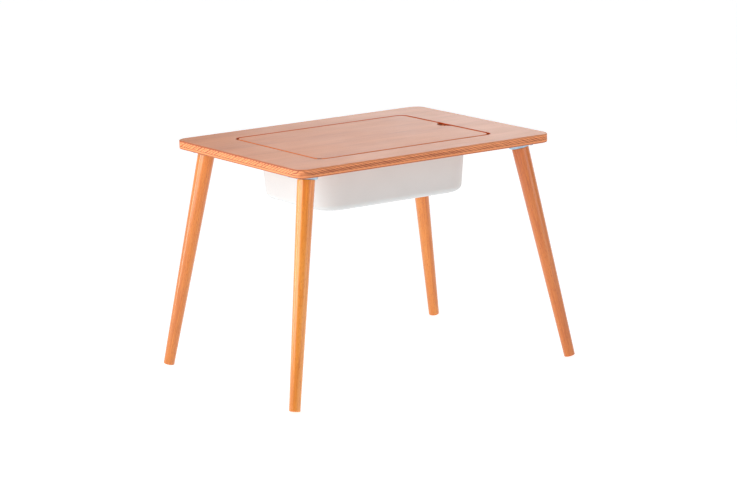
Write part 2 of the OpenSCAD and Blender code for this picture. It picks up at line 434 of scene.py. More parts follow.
class Nodes:
    """A node tree under construction, with short names for its usual nodes."""

    def __init__(self, tree: bpy.types.NodeTree) -> None:
        """Takes over a node tree."""
        self.tree = tree

    def put(self, socket: Socket, value: Value) -> None:
        """Links a socket to another one, or sets its value.

        Args:
            socket: The input to fill.
            value: An output to link, a number, a colour or a vector.
        """
        if isinstance(value, bpy.types.NodeSocket):
            self.tree.links.new(value, socket)
        elif isinstance(value, tuple) and len(socket.default_value) == 4:
            socket.default_value = (*value, 1.0)
        else:
            socket.default_value = value

    def node(self, kind: str, *values: Value, **settings: object) -> bpy.types.Node:
        """Adds a node.

        Args:
            kind: Type of the node.
            *values: What its first inputs get, in their order.
            **settings: Properties of the node.

        Returns:
            The node.
        """
        made = self.tree.nodes.new(kind)
        for name, setting in settings.items():
            setattr(made, name, setting)
        for socket, value in zip(made.inputs, values):
            self.put(socket, value)
        return made

    def maths(self, operation: str, *values: Value, clamp: bool = False) -> Socket:
        """The result of a sum, kept between 0 and 1 where it is clamped."""
        made = self.node("ShaderNodeMath", *values, operation=operation, use_clamp=clamp)
        return made.outputs[0]

    def plus(self, first: Value, second: Value, weight: Value = 1.0) -> Socket:
        """One number plus another, which is multiplied by its weight."""
        return self.maths("MULTIPLY_ADD", second, weight, first)

    def minus(self, first: Value, second: Value) -> Socket:
        """One number less another."""
        return self.maths("SUBTRACT", first, second)

    def times(self, first: Value, second: Value) -> Socket:
        """One number multiplied by another."""
        return self.maths("MULTIPLY", first, second)

    def absolute(self, value: Socket) -> Socket:
        """A number without its sign."""
        return self.maths("ABSOLUTE", value)

    def scaled(self, vector: Socket, scale: Triple) -> Socket:
        """A vector multiplied by another, component by component."""
        return self.node("ShaderNodeVectorMath", vector, scale, operation="MULTIPLY").outputs[0]

    def split(self, vector: Socket) -> tuple[Socket, Socket, Socket]:
        """The three components of a vector."""
        made = self.node("ShaderNodeSeparateXYZ", vector)
        return made.outputs[0], made.outputs[1], made.outputs[2]

    def compose(self, x: Value, y: Value, z: Value) -> Socket:
        """A vector made of three components."""
        return self.node("ShaderNodeCombineXYZ", x, y, z).outputs[0]

    def noise(
        self, vector: Socket, scale: Triple, detail: float = 2.0, rough: float = 0.5, warp: float = 0.0
    ) -> Socket:
        """Adds a Noise texture.

        Args:
            vector: Where the noise is read.
            scale: Repeats of the noise per metre, along each component.
            detail: Number of finer layers.
            rough: Strength of the finer layers.
            warp: How much the noise is distorted.

        Returns:
            The noise, from 0 to 1.
        """
        made = self.node("ShaderNodeTexNoise", self.scaled(vector, scale))
        made.inputs["Scale"].default_value = 1.0
        made.inputs["Detail"].default_value = detail
        made.inputs["Roughness"].default_value = rough
        made.inputs["Distortion"].default_value = warp
        return made.outputs[0]

    def fade(
        self, value: Socket, start: float, end: float, low: Value = 0.0, high: Value = 1.0
    ) -> Socket:
        """Maps a value smoothly from one range to another.

        Args:
            value: The value to map.
            start: Where the result is low.
            end: Where the result is high.
            low: Result at the start.
            high: Result at the end.

        Returns:
            The mapped value, held at the ends of the range.
        """
        ends = (start, end, low, high)
        made = self.node("ShaderNodeMapRange", value, *ends, interpolation_type="SMOOTHSTEP")
        return made.outputs[0]

    def blend(self, share: Value, first: Value, second: Value, mode: str = "MIX") -> Socket:
        """Mixes two colours.

        Args:
            share: Share of the second colour.
            first: The first colour.
            second: The second colour.
            mode: How they are mixed.

        Returns:
            The mixed colour.
        """
        made = self.node("ShaderNodeMix", share, data_type="RGBA", blend_type=mode)
        self.put(made.inputs[6], first)
        self.put(made.inputs[7], second)
        return made.outputs[2]

    def pick(self, share: Socket, first: Value, second: Value) -> Socket:
        """Mixes two numbers.

        Args:
            share: Share of the second number.
            first: The first number.
            second: The second number.

        Returns:
            The mixed number.
        """
        made = self.node("ShaderNodeMix", share, data_type="FLOAT")
        self.put(made.inputs[2], first)
        self.put(made.inputs[3], second)
        return made.outputs[0]

    def ramp(
        self, value: Socket, stops: Sequence[tuple[float, Colour]], mode: str = "LINEAR"
    ) -> Socket:
        """Looks up a value in a row of colours.

        Args:
            value: The value that is looked up.
            stops: Places from 0 to 1 in rising order, and the colours there.
            mode: How the colours follow each other.

        Returns:
            The colour.
        """
        made = self.node("ShaderNodeValToRGB", value)
        band = made.color_ramp
        band.interpolation = mode
        while len(band.elements) < len(stops):
            band.elements.new(1.0)
        for element, (place, colour) in zip(band.elements, stops):
            element.position = place
            element.color = (*colour, 1.0)
        return made.outputs[0]

    def steps(self, value: Socket, levels: Iterable[tuple[float, float]]) -> Socket:
        """A value's level in a row of steps, each given by its start and its level."""
        stops = [(start, (level, level, level)) for start, level in levels]
        return self.times(self.ramp(value, stops, "CONSTANT"), 1.0)

    def bump(self, height: Socket, depth: float, under: Socket | None = None) -> Socket:
        """Adds relief to the surface's normal.

        Args:
            height: The relief, from 0 to 1.
            depth: Depth of the relief.
            under: A normal that the relief is laid over.

        Returns:
            The new normal.
        """
        made = self.node("ShaderNodeBump")
        made.inputs["Strength"].default_value = 1.0
        made.inputs["Distance"].default_value = depth
        self.put(made.inputs["Height"], height)
        if under is not None:
            self.put(made.inputs["Normal"], under)
        return made.outputs[0]


class Shader(Nodes):
    """A material under construction, about a Principled shader."""

    def __init__(self, name: str) -> None:
        """Makes the material and its shader.

        Args:
            name: Name of the material.
        """
        self.material = bpy.data.materials.new(name)
        self.material.use_nodes = True
        super().__init__(self.material.node_tree)
        self.tree.nodes.clear()
        self.surface = self.node("ShaderNodeBsdfPrincipled")
        self.output = self.node("ShaderNodeOutputMaterial", self.surface.outputs[0])

    def set(self, **values: Value) -> Material:
        """Fills inputs of the surface shader.

        Args:
            **values: The inputs by name, with underscores for spaces.

        Returns:
            The material.
        """
        for name, value in values.items():
            self.put(self.surface.inputs[name.replace("_", " ")], value)
        return self.material


# ---- Finishes ----


@dataclass(frozen=True)
class PlyAtDepth:
    """What the ply at the shaded depth is like."""

    crosswise: Socket
    number: Socket
    stain: Socket
    ringed: Socket
    plain: Socket
    glue: Socket


@dataclass(frozen=True)
class PlywoodFinish:
    """Lacquered beech plywood, whose plies are laid out by depth under its face.

    Three rows of numbers run from the face down, one number for each ply: how dark its
    end grain is stained, how much its growth rings show, and its tone where they don't.
    A scale is a noise's repeats per metre along each axis.
    """

    name: str
    face_level: float
    plies: tuple[float, ...]

    pale: Colour = (0.87, 0.312, 0.118)
    warm: Colour = (0.77, 0.246, 0.080)
    streak: Colour = (0.65, 0.184, 0.050)
    side_pale: Colour = (0.96, 0.345, 0.125)
    side_warm: Colour = (0.44, 0.088, 0.024)
    end_pale: Colour = (0.99, 0.365, 0.140)
    end_dark: Colour = (0.44, 0.105, 0.034)
    glue: Colour = (0.22, 0.060, 0.022)
    # Colour of the band about the lid's groove: partly routed wood, partly painted shade of the gap
    routed_groove_shade: Colour = (0.72, 0.078, 0.004)

    stained: tuple[float, ...] = (1.00, 0.40, 0.50, 1.00, 1.30, 0.10, 0.95)
    ringed: tuple[float, ...] = (0.20, 1.00, 1.00, 1.00, 0.30, 0.15, 0.10)
    plain: tuple[float, ...] = (0.58, 0.58, 0.58, 0.58, 0.45, 0.70, 0.16)
    ply_shift: tuple[float, float] = (13.7, 7.31)
    glue_line: float = 0.30 * MM
    glue_share: float = 0.75

    band_scale: Triple = (2.6, 15.0, 15.0)
    streak_scale: Triple = (9.0, 210.0, 210.0)
    fleck_scale: Triple = (230.0, 1900.0, 1900.0)
    pore_scale: Triple = (300.0, 1500.0, 1500.0)
    blotch_scale: Triple = (30.0, 9.0, 160.0)
    rub_scale: Triple = (7.0, 7.0, 7.0)

    stroke: float = 11.2 * MM
    slant: float = 2.2
    sway: float = 4.5
    sway_scale: Triple = (60.0, 25.0, 0.0)
    strength_scale: Triple = (22.0, 1.0, 1.0)

    # Where that band lies; it is shifted along the table so that the painted shade is wider on one side
    # of the groove
    groove: Triple = (427 * MM, 325 * MM, 18.5 * MM)
    groove_depth: float = 2.5 * MM
    groove_shade_reach: float = 4.0 * MM
    groove_shade_shift: float = 0.8 * MM
    routed_roughness: float = 0.95
    roughness: float = 0.41
    relief: float = 0.10 * MM

    def ply_at(self, s: Shader, depth: Socket) -> PlyAtDepth:
        """Looks up the ply at a depth.

        Args:
            s: The material under construction.
            depth: Depth under the face.

        Returns:
            Whether the ply's grain runs across the table, its number in tenths, its
            stain, rings and plain tone, and whether this is a glue line.
        """
        total = sum(self.plies)
        share = s.maths("DIVIDE", depth, total, clamp=True)
        tops = [sum(self.plies[:i]) / total for i in range(len(self.plies))]
        half = self.glue_line / 2 / total
        crosswise = [i % 2 for i in range(len(tops))]
        number = [i / 10 for i in range(len(tops))]
        rows = (crosswise, number, self.stained, self.ringed, self.plain)
        lines = [(0.0, 0.0)]
        for top in tops[1:]:
            lines += [(top - half, 1.0), (top + half, 0.0)]
        return PlyAtDepth(*(s.steps(share, zip(tops, row)) for row in rows), s.steps(share, lines))

    def strokes(
        self, s: Shader, place: Sequence[Socket], slant: Socket, depth: Socket, ply: PlyAtDepth
    ) -> Socket:
        """Lays growth rings across the edge as slanting strokes, broken from ply to ply.

        Args:
            s: The material under construction.
            place: Place along, across and up the table.
            slant: How far the strokes lean for each unit of depth.
            depth: Depth under the face.
            ply: The ply at that depth.

        Returns:
            The strokes, from 0 in the dark wood to 1 in the pale.
        """
        x, y, z = place
        lean = s.plus(s.minus(x, y), depth, slant)
        sway = s.noise(s.compose(lean, z, 0.0), self.sway_scale, 2.0, 0.6)
        turn = s.plus(s.times(lean, math.pi / self.stroke), sway, self.sway)
        strokes = s.fade(s.absolute(s.maths("SINE", turn)), 0.35, 0.85)
        strength = s.noise(s.compose(lean, 3.0, ply.number), self.strength_scale, 1.0)
        strength = s.fade(strength, 0.32, 0.50, 0.65, 1.0)
        return s.pick(s.times(ply.ringed, strength), ply.plain, strokes)

    def near_groove(self, s: Shader, x: Socket, y: Socket, depth: Socket) -> Socket:
        """Finds the band about the lid's groove that takes the routed colour and its painted shade.

        Args:
            s: The material under construction.
            x: Place along the table.
            y: Place across the table.
            depth: Depth under the face.

        Returns:
            How much the place belongs to the groove, from 0 to 1.
        """
        length, width, corner = self.groove
        x = s.minus(x, self.groove_shade_shift)
        out_x = s.maths("MAXIMUM", s.minus(s.absolute(x), length / 2 - corner), 0.0)
        out_y = s.maths("MAXIMUM", s.minus(s.absolute(y), width / 2 - corner), 0.0)
        from_bend = s.maths("SQRT", s.plus(s.times(out_y, out_y), out_x, out_x))
        off = s.absolute(s.minus(from_bend, corner))
        share = s.fade(off, self.groove_shade_reach, 0.85 * self.groove_shade_reach)
        return s.times(share, s.fade(depth, self.groove_depth, 0.6 * self.groove_depth))

    def material(self) -> Material:
        """Builds the material.

        Returns:
            The plywood, ready for a piece's slot.
        """
        s = Shader(self.name)
        places = s.node("ShaderNodeTexCoord").outputs
        place = x, y, z = s.split(places["Object"])
        nx, ny, nz = (s.absolute(n) for n in s.split(places["Normal"]))
        depth = s.minus(self.face_level, z)
        ply = self.ply_at(s, depth)
        edge = s.fade(nz, 0.97, 0.72)
        endways = s.times(s.fade(s.pick(ply.crosswise, nx, ny), 0.45, 0.75), edge)

        # The grain runs along the table in the face, and across it in every second ply
        along_shift, across_shift = self.ply_shift
        along = s.plus(s.pick(ply.crosswise, x, y), ply.number, along_shift)
        across = s.plus(s.pick(ply.crosswise, y, x), ply.number, across_shift)
        grain = s.compose(along, across, z)

        # Long grain: broad bands, narrow streaks and short flecks
        bands = s.noise(grain, self.band_scale, 3.0, 0.55, 0.35)
        streaks = s.noise(grain, self.streak_scale, 3.0, 0.62)
        tone = s.plus(s.times(streaks, 0.40), bands, 0.60)
        wood = s.ramp(tone, ((0.30, self.streak), (0.46, self.warm), (0.66, self.pale)))
        flecks = s.noise(grain, self.fleck_scale, 1.0)
        fleck = s.fade(flecks, 0.60, 0.72, 0.0, 0.40)
        wood = s.blend(fleck, wood, self.streak)

        # Edges along the grain are warm, with pale and dark strokes
        slant = s.times(s.minus(nx, ny), self.slant)
        strokes = self.strokes(s, place, slant, depth, ply)
        tone = s.plus(s.times(tone, 0.40), strokes, 0.60)
        side = s.ramp(tone, ((0.22, self.side_warm), (0.60, self.side_pale)))
        wood = s.blend(edge, wood, side)

        # End grain takes an uneven stain, and shows its pores
        blotch = s.noise(grain, self.blotch_scale, 2.0)
        stain = s.times(s.fade(blotch, 0.34, 0.56, 0.55, 1.0), ply.stain)
        stain = s.maths("MULTIPLY_ADD", strokes, -0.52, s.plus(stain, 0.17), clamp=True)
        end = s.blend(stain, self.end_pale, self.end_dark)
        pores = s.noise(grain, self.pore_scale, 2.0)
        end = s.blend(s.fade(pores, 0.52, 0.70, 0.0, 0.3), end, self.end_dark)
        wood = s.blend(endways, wood, end)

        # The first and the seventh ply are darker on the cut edges, most where their end grain shows
        first = s.fade(ply.number, 0.05, 0.02)
        seventh = s.fade(ply.number, 0.55, 0.58, 0.0, 0.8)
        darkened_plies = s.times(s.maths("MAXIMUM", first, seventh), edge)
        darkened_plies = s.times(darkened_plies, s.fade(endways, 0.0, 1.0, 0.3, 0.95))
        wood = s.blend(darkened_plies, wood, self.end_dark)

        # Glue shows between the plies. The band about the lid's groove is matt, and its colour is
        # partly routed wood and partly painted shade of the gap about the lid
        seam = s.times(ply.glue, edge)
        wood = s.blend(s.times(seam, self.glue_share), wood, self.glue)
        routed_groove_shade = self.near_groove(s, x, y, depth)
        wood = s.blend(routed_groove_shade, wood, self.routed_groove_shade)

        rub = s.noise(places["Object"], self.rub_scale, 3.0)
        gloss = s.plus(self.roughness - 0.06, rub, 0.12)
        gloss = s.plus(gloss, edge, 0.14)
        gloss = s.plus(gloss, fleck, 0.12)
        gloss = s.pick(routed_groove_shade, gloss, self.routed_roughness)
        height = s.plus(s.times(flecks, 0.5), streaks, 0.5)
        height = s.plus(height, seam, -0.6)
        return s.set(Base_Color=wood, Roughness=gloss, Normal=s.bump(height, self.relief))


@dataclass(frozen=True)
class TurnedBeechFinish:
    """Lacquered solid beech, whose growth rings run along the turned piece."""

    name: str = "turned_beech"
    pale: Colour = (0.90, 0.312, 0.042)
    warm: Colour = (0.80, 0.232, 0.022)
    dark: Colour = (0.60, 0.143, 0.012)
    ring: float = 2.6 * MM
    ring_sway: float = 12 * MM
    pith: tuple[float, float] = (52 * MM, 17 * MM)
    sway_scale: Triple = (22.0, 22.0, 3.4)
    tone_scale: Triple = (26.0, 26.0, 2.4)
    fibre_scale: Triple = (620.0, 620.0, 17.0)
    ray_scale: Triple = (820.0, 820.0, 150.0)
    rub_scale: Triple = (30.0, 30.0, 9.0)
    roughness: float = 0.34
    shine: float = 0.2
    lacquer: float = 1.0
    lacquer_roughness: float = 0.20
    lacquer_index: float = 1.6
    relief: float = 0.09 * MM

    def material(self) -> Material:
        """Builds the material.

        Returns:
            The beech, ready for a piece's slot.
        """
        s = Shader(self.name)
        place = s.node("ShaderNodeAttribute", attribute_name=GRAIN_PLACE).outputs["Vector"]
        x, y, _ = s.split(place)

        # Growth rings about a pith outside the leg, bent slowly along it
        sway = s.noise(place, self.sway_scale, 2.0)
        east = s.plus(s.plus(x, self.pith[0]), sway, self.ring_sway)
        north = s.plus(y, self.pith[1])
        reach = s.maths("SQRT", s.plus(s.times(north, north), east, east))
        turn = s.maths("FRACT", s.maths("DIVIDE", reach, self.ring))
        late = s.times(s.fade(turn, 0.35, 0.93), s.fade(turn, 1.0, 0.95))

        tone = s.noise(place, self.tone_scale, 3.0, 0.55)
        fibre = s.noise(place, self.fibre_scale, 3.0, 0.6)
        mixed = s.plus(s.times(fibre, 0.40), tone, 0.60)
        mixed = s.plus(mixed, late, -0.075)
        wood = s.ramp(mixed, ((0.30, self.dark), (0.45, self.warm), (0.62, self.pale)))

        # Ray flecks are short dark dashes along the grain, and each leg's colour is scaled by its
        # painted light tone: paler and lighter for the lit front left leg, darker for the shaded others
        rays = s.noise(place, self.ray_scale, 1.0)
        fleck = s.fade(rays, 0.57, 0.68, 0.0, 0.62)
        wood = s.blend(fleck, wood, self.dark)
        own = s.node("ShaderNodeAttribute", attribute_name=PAINTED_LEG_LIGHT).outputs["Vector"]
        wood = s.blend(1.0, wood, own, "MULTIPLY")

        rub = s.noise(place, self.rub_scale, 2.0)
        gloss = s.plus(self.roughness - 0.07, rub, 0.14)
        gloss = s.plus(gloss, fleck, 0.15)
        height = s.plus(s.times(rays, 0.4), fibre, 0.5)
        s.set(Base_Color=wood, Roughness=gloss, Normal=s.bump(height, self.relief))
        return s.set(
            Specular_IOR_Level=self.shine,
            Coat_Weight=self.lacquer,
            Coat_Roughness=self.lacquer_roughness,
            Coat_IOR=self.lacquer_index,
        )


@dataclass(frozen=True)
class MouldedPlasticFinish:
    """White moulded plastic with a fine matt grain, faint sinks and light scuffs."""

    name: str = "white_moulded_plastic"
    colour: Colour = (0.665, 0.695, 0.700)
    scuffed: Colour = (0.62, 0.645, 0.65)
    grain_scale: Triple = (2600.0, 2600.0, 2600.0)
    sink_scale: Triple = (16.0, 16.0, 16.0)
    scuff_scale: Triple = (60.0, 60.0, 420.0)
    roughness: float = 0.42
    grain_relief: float = 0.02 * MM
    sink_relief: float = 0.25 * MM

    def material(self) -> Material:
        """Builds the material.

        Returns:
            The plastic, ready for a piece's slot.
        """
        s = Shader(self.name)
        place = s.node("ShaderNodeTexCoord").outputs["Object"]
        grain = s.noise(place, self.grain_scale, 1.0)
        sink = s.noise(place, self.sink_scale, 2.0)
        scuff = s.fade(s.noise(place, self.scuff_scale, 3.0, 0.6), 0.60, 0.74)
        colour = s.blend(s.times(scuff, 0.5), self.colour, self.scuffed)
        tint = s.fade(sink, 0.3, 0.7, 0.975, 1.0)
        colour = s.blend(1.0, colour, s.compose(tint, tint, tint), "MULTIPLY")
        gloss = s.plus(self.roughness - 0.05, grain, 0.10)
        gloss = s.plus(gloss, scuff, 0.12)
        normal = s.bump(grain, self.grain_relief, s.bump(sink, self.sink_relief))
        return s.set(Base_Color=colour, Roughness=gloss, Normal=normal)


@dataclass(frozen=True)
class ZincFinish:
    """Zinc-plated steel with a faint mottle and fine scratches."""

    name: str
    bright: Colour = (0.42, 0.60, 0.72)
    dull: Colour = (0.30, 0.46, 0.58)
    cell_scale: float = 260.0
    cloud_scale: Triple = (70.0, 70.0, 70.0)
    scratch_scale: Triple = (2200.0, 160.0, 900.0)
    roughness: float = 0.34
    relief: float = 0.012 * MM

    def material(self) -> Material:
        """Builds the material.

        Returns:
            The plated steel, ready for a piece's slot.
        """
        s = Shader(self.name)
        place = s.node("ShaderNodeTexCoord").outputs["Object"]
        cells = s.node("ShaderNodeTexVoronoi", place, feature="F1")
        cells.inputs["Scale"].default_value = self.cell_scale
        mottle, _, _ = s.split(cells.outputs["Color"])
        cloud = s.noise(place, self.cloud_scale, 3.0)
        scratch = s.noise(place, self.scratch_scale, 2.0)
        share = s.plus(s.times(cloud, 0.65), mottle, 0.35)
        colour = s.blend(s.fade(share, 0.3, 0.75), self.dull, self.bright)
        gloss = s.plus(self.roughness - 0.09, cloud, 0.18)
        gloss = s.plus(gloss, scratch, 0.08)
        normal = s.bump(scratch, self.relief)
        return s.set(Metallic=1.0, Base_Color=colour, Roughness=gloss, Normal=normal)


@dataclass(frozen=True)
class FloorFinish:
    """Plain pale matt floor that is clear when it is seen from below."""

    name: str = "pale_floor"
    colour: Colour = (0.50, 0.50, 0.50)
    roughness: float = 0.9
    glow: float = 0.79

    def material(self) -> Material:
        """Builds the material.

        Returns:
            The floor's material.
        """
        s = Shader(self.name)
        s.set(Base_Color=self.colour, Roughness=self.roughness, Specular_IOR_Level=0.0)
        s.set(Emission_Color=WHITE, Emission_Strength=self.glow)
        below = s.node("ShaderNodeNewGeometry").outputs["Backfacing"]
        clear = s.node("ShaderNodeBsdfTransparent").outputs[0]
        both = s.node("ShaderNodeMixShader", below, s.surface.outputs[0], clear)
        s.put(s.output.inputs[0], both.outputs[0])
        return s.material


# ---- Putting pieces on the frame ----


def dress(piece: Piece, material: Material) -> None:
    """Gives every face of a piece one material."""
    piece.data.materials.clear()
    piece.data.materials.append(material)


def piece_box(piece: Piece) -> tuple[Vector, Vector]:
    """Lowest and highest corner of a piece's mesh."""
    axes = list(zip(*(vert.co for vert in piece.data.vertices)))
    return Vector([min(axis) for axis in axes]), Vector([max(axis) for axis in axes])


def fit(piece: Piece, body: Body, node: str) -> None:
    """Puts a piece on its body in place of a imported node, and reports how it fits.

    Args:
        piece: The finished piece, with its place in its mesh.
        body: The body that carries it.
        node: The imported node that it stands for.
    """
    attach(piece, body.value)
    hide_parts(node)
    ends = zip(piece_box(piece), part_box(node))
    off = max(abs(mine[i] - solid[i]) for mine, solid in ends for i in range(3))
    faces = len(piece.data.polygons)
    LOG.info("%s: %d faces, box off its solid by %.2f mm", piece.name, faces, off / MM)


def fit_corners(pieces: dict[Corner, Piece], material: Material, node: str) -> None:
    """Dresses the piece at every corner and puts it on the table.

    Args:
        pieces: The finished piece at each corner.
        material: Their material.
        node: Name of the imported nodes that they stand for, without the corner.
    """
    for corner, piece in pieces.items():
        dress(piece, material)
        fit(piece, Body.TABLE, f"{node}_{corner.label}")


# ---- Board and lid ----


@dataclass
class TableTop:
    """Plywood board with the lid's pocket, the rim's recess and the bin's opening.

    Each outline is given by its length, its width and the radius of its corners.
    """

    height: float = 480 * MM
    thickness: float = 18 * MM
    outside: Triple = (620 * MM, 480 * MM, 25 * MM)
    ease: float = 1.5 * MM
    ease_steps: int = 4
    pocket: Triple = (430 * MM, 328 * MM, 16 * MM)
    pocket_level: float = 471 * MM
    pocket_ease: float = 1.5 * MM
    recess: Triple = (412 * MM, 295 * MM, 78 * MM)
    ledge_level: float = 468.4 * MM
    opening: Triple = (394 * MM, 277 * MM, 69 * MM)
    opening_ease: float = 0.6 * MM
    opening_steps: int = 2
    points: int = 100
    crisp: float = 38.0
    plies: tuple[float, ...] = tuple(ply * MM for ply in (2.8, 2.8, 1.0, 5.0, 1.4, 2.6, 2.4))

    def build(self) -> Piece:
        """Models the board as one closed skin round its opening.

        Returns:
            The board.
        """
        under = self.height - self.thickness
        loft = Loft("plywood_board", self.points)
        mouth = loft.rectangle(*self.opening, under)
        ledge = loft.rectangle(*self.opening, self.ledge_level)
        loft.rectangle(*self.recess, self.ledge_level)
        brim = loft.rectangle(*self.recess, self.pocket_level)
        loft.rectangle(*self.pocket, self.pocket_level)
        rim = loft.rectangle(*self.pocket, self.height)
        top = loft.rectangle(*self.outside, self.height)
        bottom = loft.rectangle(*self.outside, under)
        loft.skin(closed=True)
        for outline in (mouth, ledge, brim):
            loft.ease(outline, self.opening_ease, self.opening_steps)
        loft.ease(rim, self.pocket_ease)
        for outline in (top, bottom):
            loft.ease(outline, self.ease, self.ease_steps)
        board = loft.finish()
        Bench.smooth(board, self.crisp)
        return board

    def dress(self, board: Piece) -> None:
        """Gives the board its plywood and puts it on the table."""
        dress(board, PlywoodFinish("board_plywood", self.height, self.plies).material())
        fit(board, Body.TABLE, "tabletop")


@dataclass
class LiftOutLid:
    """Flush plywood lid with a half-round finger notch in its right edge."""

    face_level: float = 480 * MM
    length: float = 424 * MM
    width: float = 322 * MM
    thickness: float = 9 * MM
    corner: float = 21 * MM
    corner_steps: int = 24
    notch_radius: float = 25 * MM
    notch_depth: float = 17 * MM
    notch_points: int = 96
    ease: float = 1.5 * MM
    ease_steps: int = 3
    ease_above: float = 35.0
    crisp: float = 38.0
    plies: tuple[float, ...] = (2.2 * MM, 2.3 * MM, 2.3 * MM, 2.2 * MM)

    def build(self) -> Piece:
        """Models the lid from a plane: rounded, thickened, notched and eased.

        Returns:
            The lid.
        """
        seat = self.face_level - self.thickness
        middle = (0.0, 0.0, seat)
        rise = {"value": (0.0, 0.0, self.thickness)}
        lid = Bench.plane("plywood_lid")
        bpy.ops.object.mode_set(mode="EDIT")
        bpy.ops.mesh.select_all(action="SELECT")
        bpy.ops.transform.translate(value=middle)
        bpy.ops.transform.resize(value=(self.length, self.width, 1.0), center_override=middle)
        bpy.ops.mesh.bevel(offset=self.corner, segments=self.corner_steps, affect="VERTICES")
        bpy.ops.mesh.select_all(action="SELECT")
        bpy.ops.mesh.extrude_region_move(TRANSFORM_OT_translate=rise)
        bpy.ops.object.mode_set(mode="OBJECT")
        Bench.close(lid)
        notch = (self.length / 2 + self.notch_radius - self.notch_depth, 0.0, seat + self.thickness / 2)
        Bench.drill(lid, self.notch_radius, 3 * self.thickness, notch, self.notch_points)
        above = math.radians(self.ease_above)
        rounding = {"width": self.ease, "segments": self.ease_steps}
        Bench.modify(lid, "BEVEL", limit_method="ANGLE", angle_limit=above, **rounding)
        Bench.close(lid)
        Bench.smooth(lid, self.crisp)
        return lid

    def dress(self, lid: Piece) -> None:
        """Gives the lid its plywood, a little warmer than the board's, and puts it on its body.

        Args:
            lid: The finished lid.
        """
        finish = PlywoodFinish(
            name="lid_plywood",
            face_level=self.face_level,
            plies=self.plies,
            pale=(0.87, 0.290, 0.092),
            warm=(0.77, 0.228, 0.060),
            streak=(0.65, 0.170, 0.036),
            band_scale=(3.3, 15.0, 15.0),
            # On the lid the band is a saturated orange painted shade of the gap, shifted the other way
            routed_groove_shade=(0.95, 0.23, 0.030),
            groove_shade_reach=3.8 * MM,
            groove_shade_shift=-0.8 * MM,
        )
        dress(lid, finish.material())
        fit(lid, Body.LID, "lid")


# ---- Storage bin ----


@dataclass
class StorageBin:
    """Moulded bin with drafted walls, a raised base panel and a hanging rim."""

    length: float = 390 * MM
    width: float = 273 * MM
    corner: float = 67 * MM
    height: float = 111 * MM
    rim_level: float = 470.6 * MM
    wall: float = 2.2 * MM
    draft: float = 4.9
    base_fillet: float = 14 * MM
    fillet_steps: int = 9
    rim: float = 10 * MM
    rim_steps: int = 8
    rim_root: float = 3 * MM
    root_steps: int = 6
    panel_rise: float = 1.5 * MM
    panel_inset: float = 26 * MM
    panel_slope: float = 3 * MM
    panel_ease: float = 1.2 * MM
    gate_radius: float = 4 * MM
    gate_taper: float = 0.85
    gate_rise: float = 0.4 * MM
    gate_ease: float = 0.2 * MM
    gate_steps: int = 2
    points: int = 100
    crisp: float = 50.0

    def section(self) -> tuple[list[tuple[float, float]], list[int]]:
        """Draws the wall's section, from the middle of the underside round to the inside.

        Returns:
            Points as radius at the corner and height over the base, and the places in
            that list of the edges that are rounded.
        """
        lean = math.tan(math.radians(self.draft))
        slant = math.cos(math.radians(self.draft))
        rim_under = self.height - self.wall
        fillet = self.corner - lean * (rim_under - self.base_fillet) - self.base_fillet / slant
        inner_fillet = self.base_fillet - self.wall
        panel = fillet - self.panel_inset
        foot = panel + self.panel_slope
        half = self.wall / 2
        root = self.corner - self.wall / slant + self.rim_root
        root_up = self.height - self.rim_root
        points = [(panel, self.panel_rise), (foot, 0.0)]
        points += arc(
            fillet, self.base_fillet, self.base_fillet, -90, -self.draft, self.fillet_steps
        )
        points += [(self.corner, rim_under)]
        points += arc(self.corner + self.rim - half, rim_under + half, half, -90, 90, self.rim_steps)
        points += arc(root, root_up, self.rim_root, 90, 180 - self.draft, self.root_steps)
        points += arc(fillet, self.base_fillet, inner_fillet, -self.draft, -90, self.fillet_steps)
        points += [(foot - half, self.wall), (panel - half, self.panel_rise + self.wall)]
        return points, [0, 1, len(points) - 2, len(points) - 1]

    def build(self) -> Piece:
        """Models the bin as one skin, from the underside over the rim to the inside.

        Returns:
            The bin.
        """
        base = self.rim_level - self.height
        reach_x = self.length / 2 - self.corner
        reach_y = self.width / 2 - self.corner
        loft = Loft("moulded_bin", self.points)
        underside = base + self.panel_rise
        loft.circle(self.gate_radius * self.gate_taper, underside - self.gate_rise)
        gate = loft.circle(self.gate_radius, underside)
        points, rounded = self.section()
        first = loft.outlines + 1
        for radius, height in points:
            loft.rectangle(2 * (reach_x + radius), 2 * (reach_y + radius), radius, base + height)
        loft.skin()
        loft.ease(gate, self.gate_ease, self.gate_steps)
        for place in rounded:
            loft.ease(first + place, self.panel_ease)
        shell = loft.finish()
        Bench.smooth(shell, self.crisp)
        return shell

    def dress(self, shell: Piece) -> None:
        """Gives the bin its plastic and puts it on its body."""
        dress(shell, MouldedPlasticFinish().material())
        fit(shell, Body.BIN, "storage_bin")


# ---- Legs and their hardware ----


@dataclass(frozen=True)
class LegStance:
    """Where the legs meet the underside, and how they lean."""

    underside: float = 462 * MM
    x: float = 262.1 * MM
    y: float = 189 * MM
    splay: float = math.radians(12.25)
    bearing: float = math.radians(34.7)
    seat_drop: float = 12 * MM

    @property
    def seat(self) -> float:
        """Place of the leg's top end along its axis, from the underside."""
        return -self.seat_drop / math.cos(self.splay)

    def level(self, corner: Corner) -> Matrix:
        """Finds the frame on the underside at a leg, with X pointing outwards along its lean.

        Args:
            corner: The leg's corner.

        Returns:
            The frame.
        """
        side_x, side_y = corner.value
        turn = side_y * self.bearing if side_x > 0 else math.pi - side_y * self.bearing
        place = Matrix.Translation((side_x * self.x, side_y * self.y, self.underside))
        return place @ Matrix.Rotation(turn, 4, "Z")

    def leaning(self, corner: Corner) -> Matrix:
        """The frame at a leg with Z running up its axis."""
        return self.level(corner) @ Matrix.Rotation(-self.splay, 4, "Y")


